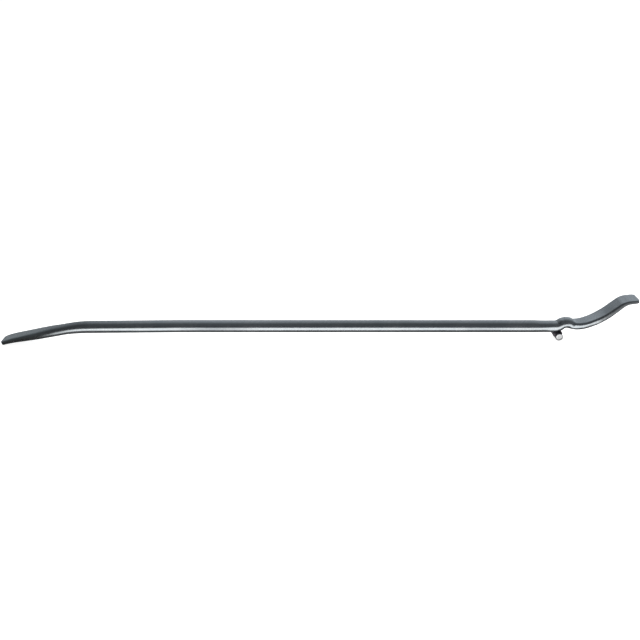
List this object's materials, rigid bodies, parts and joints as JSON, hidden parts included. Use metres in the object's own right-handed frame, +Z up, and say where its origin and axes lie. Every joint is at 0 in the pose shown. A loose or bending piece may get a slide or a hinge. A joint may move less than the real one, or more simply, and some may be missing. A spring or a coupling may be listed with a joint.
{
  "type": "tyre bar",
  "caption": "Long forged round bar for prying tyre beads: a flat drooping spoon at one end, a humped and upswept spoon at the other, with a stop pin welded under the hump.",
  "frame": {"origin": "the middle of the bounding box's bottom face, on the surface that the tool lies on", "axes": "+X along the tool towards the curved spoon, +Y across it, +Z up; the tool lies on the flat spoon's tip and on the stop pin"},
  "size_m": [0.9405, 0.0264, 0.0646],
  "materials": {
    "bar_steel": "hammer-forged and oiled, dark blue-grey, worn bright along the blade edges",
    "pin_steel": "dark rolled sides, bright sawn and ground ends",
    "weld_steel": "dark scaled weld bead"
  },
  "bodies": {
    "root": {"forged_bar": "bar_steel", "stop_pin": "pin_steel", "weld_bead_handle_side": "weld_steel", "weld_bead_spoon_side": "weld_steel"}
  },
  "joints": []
}
